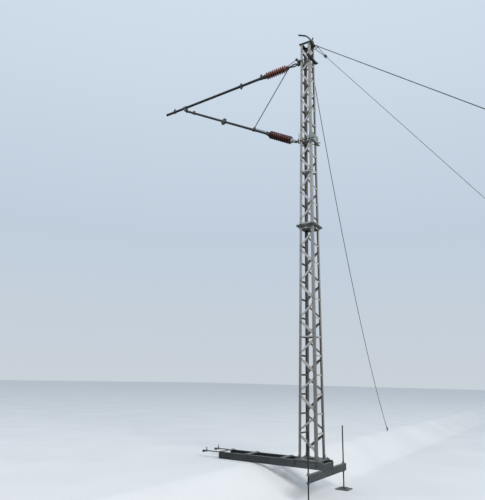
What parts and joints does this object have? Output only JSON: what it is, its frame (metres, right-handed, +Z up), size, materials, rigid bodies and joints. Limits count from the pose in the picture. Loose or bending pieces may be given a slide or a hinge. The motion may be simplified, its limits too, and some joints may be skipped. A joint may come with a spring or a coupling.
{
  "type": "emergency restoration tower",
  "caption": "Tapered lattice mast on a ladder base frame with a swinging insulated cantilever, screw jacks at its field beam and anchored stays, for restoring overhead line.",
  "frame": {"origin": "on the flat underside of the base frame, under the mast's axis", "axes": "+Z up along the mast; -X towards the track, where the cantilever and the ladder frame point; +X the field side; +Y along the track"},
  "size_m": [13.4551, 10.8424, 9.1738],
  "materials": {
    "base_paint": "weathered blue-grey galvanising",
    "plate_galv": "light galvanised plate",
    "clamp_steel": "dark weathered steel",
    "black_screw": "black oiled steel screw",
    "fastener": "dull zinc",
    "mast_metal": "dull light grey metal",
    "lattice_metal": "dull light grey metal",
    "flange_metal": "grey galvanised plate",
    "dark_steel": "dark grey steel",
    "tube_galv": "grey-green galvanised tube",
    "insulator_glaze": "brown-red glaze",
    "tube_fitting": "cast grey fittings",
    "stay_steel": "grey steel rod and wire",
    "rope": "brown fibre rope"
  },
  "bodies": {
    "tower": {"base_battens": "base_paint", "base_channel_far": "base_paint", "base_channel_near": "base_paint", "base_cross_plates": "plate_galv", "base_end_channel": "base_paint", "bracket_tie_rods": "dark_steel", "field_beam": "base_paint", "ground_anchors": "clamp_steel", "head_frame": "dark_steel", "head_horn": "dark_steel", "jack_nuts": "fastener", "lower_bracing_far": "lattice_metal", "lower_bracing_near": "lattice_metal", "lower_bracket": "flange_metal", "lower_chords": "mast_metal", "lower_flange": "flange_metal", "lower_rungs_field": "lattice_metal", "lower_rungs_track": "lattice_metal", "mast_foot_plate": "plate_galv", "pivot_pins": "dark_steel", "plan_crosses": "lattice_metal", "rail_clamps": "clamp_steel", "rope_end_ring": "fastener", "stay_rope_rear": "rope", "stay_top_fittings": "fastener", "stay_turnbuckles": "fastener", "stay_wire_far": "stay_steel", "stay_wire_near": "stay_steel", "upper_bracing_far": "lattice_metal", "upper_bracing_near": "lattice_metal", "upper_bracket": "dark_steel", "upper_chords": "mast_metal", "upper_flange": "flange_metal", "upper_rungs_field": "lattice_metal", "upper_rungs_track": "lattice_metal"},
    "cantilever": {"top_insulator": "insulator_glaze", "inclined_insulator": "insulator_glaze", "swivel_eyes": "tube_fitting", "tube_sockets": "tube_fitting", "top_tube": "tube_galv", "inclined_tube": "tube_galv", "tube_end_cap": "tube_galv", "top_tube_clamps": "tube_fitting", "inclined_tube_clamps": "tube_fitting", "tube_knuckle": "tube_fitting", "inclined_end_eye": "tube_galv", "stay_rod": "stay_steel", "link_rod": "stay_steel", "guard_rod": "stay_steel"},
    "jack_near": {"jack_screw_near": "black_screw", "jack_foot_near": "plate_galv"},
    "jack_far": {"jack_screw_far": "black_screw", "jack_foot_far": "plate_galv"}
  },
  "joints": [
    {"name": "cantilever_swing", "type": "hinge", "parent": "tower", "child": "cantilever", "pos_m": [-0.21, 0, 7], "axis": [0, 0, 1], "range_deg": [-70, 70]},
    {"name": "near_jack_screw", "type": "slide", "parent": "tower", "child": "jack_near", "axis": [0, 0, 1], "range_m": [-0.5, 0.16]},
    {"name": "far_jack_screw", "type": "slide", "parent": "tower", "child": "jack_far", "axis": [0, 0, 1], "range_m": [-0.5, 0.16]}
  ]
}
